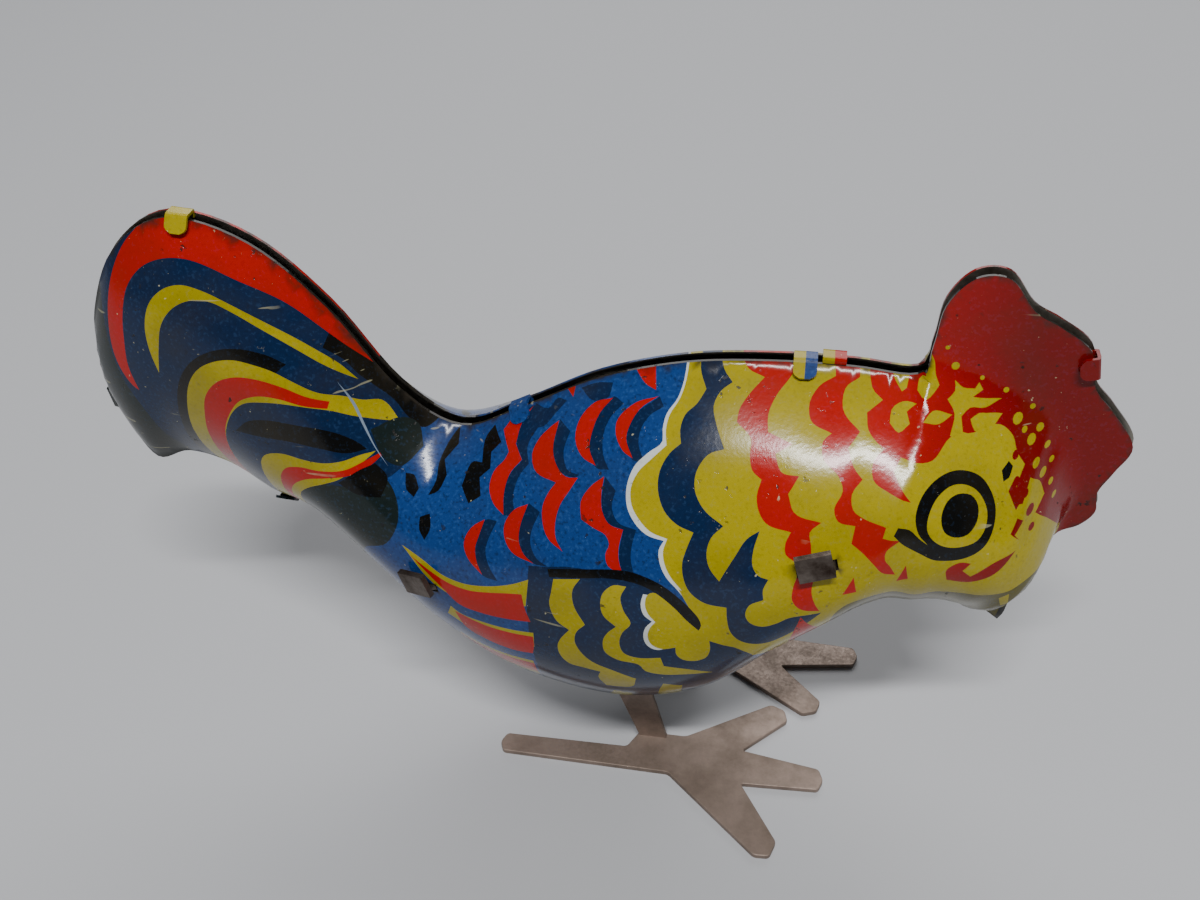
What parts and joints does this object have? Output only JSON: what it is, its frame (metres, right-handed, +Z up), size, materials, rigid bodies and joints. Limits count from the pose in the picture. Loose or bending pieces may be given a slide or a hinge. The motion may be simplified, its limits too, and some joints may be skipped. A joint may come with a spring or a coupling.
{
  "type": "wind-up hopping rooster toy",
  "caption": "Clockwork tinplate rooster: two printed half shells tabbed together round a spring motor that rocks a pair of stamped legs.",
  "frame": {"origin": "middle of the whole toy's box, on the ground under it", "axes": "+X towards the beak, along the feet; +Z up; +Y to the rooster's left, where the key is"},
  "size_m": [0.1002, 0.0466, 0.0608],
  "materials": {
    "litho_tin": "glossy printed enamel on tinplate",
    "frame_steel": "dull browned steel",
    "steel": "turned steel",
    "spring_steel": "blued spring steel",
    "brass": "stamped brass",
    "key_steel": "nickelled steel",
    "leg_tin": "dull pinkish beige paint"
  },
  "bodies": {
    "body": {"right_shell": "litho_tin", "left_shell": "litho_tin", "right_plate": "frame_steel", "left_plate": "frame_steel", "front_pillar": "steel", "rear_pillar": "steel", "lower_pillar": "steel", "leg_axle": "steel", "mainspring": "spring_steel", "spring_post": "steel"},
    "great_wheel_set": {"great_wheel": "brass", "great_bush": "brass", "click": "steel", "click_rivet": "steel", "click_spring": "spring_steel"},
    "winder": {"winding_arbor": "steel", "ratchet_wheel": "steel", "arbor_nut": "steel", "key": "key_steel"},
    "second_wheel_set": {"second_arbor": "steel", "second_pinion": "brass", "second_wheel": "brass"},
    "crank_set": {"crank_arbor": "steel", "crank_pinion": "brass", "crank_disc": "steel", "crank_pin": "steel"},
    "legs": {"leg_yoke": "leg_tin", "yoke_rivets": "steel", "right_leg": "leg_tin", "left_leg": "leg_tin", "leg_bushes": "steel"}
  },
  "joints": [
    {"name": "train_run", "type": "hinge", "parent": "body", "child": "great_wheel_set", "pos_m": [0.0009, -0.0039, 0.0255], "axis": [0, 1, 0], "continuous": true},
    {"name": "key_wind", "type": "hinge", "parent": "great_wheel_set", "child": "winder", "pos_m": [0.0009, -0.0039, 0.0255], "axis": [0, 1, 0], "continuous": true},
    {"name": "second_spin", "type": "hinge", "parent": "body", "child": "second_wheel_set", "pos_m": [0.0105, -0.0039, 0.03104], "axis": [0, 1, 0], "continuous": true},
    {"name": "crank_spin", "type": "hinge", "parent": "body", "child": "crank_set", "pos_m": [0.01715, -0.0039, 0.02415], "axis": [0, 1, 0], "continuous": true},
    {"name": "leg_swing", "type": "hinge", "parent": "body", "child": "legs", "pos_m": [0.0039, -0.0039, 0.0143], "axis": [0, 1, 0], "range_deg": [-6.5, 6.5], "stiffness_Nm_per_rad": 0.3}
  ],
  "couplings": [
    {"joint": "second_spin", "follows": "train_run", "ratio": -4.5},
    {"joint": "crank_spin", "follows": "train_run", "ratio": 16.875}
  ]
}
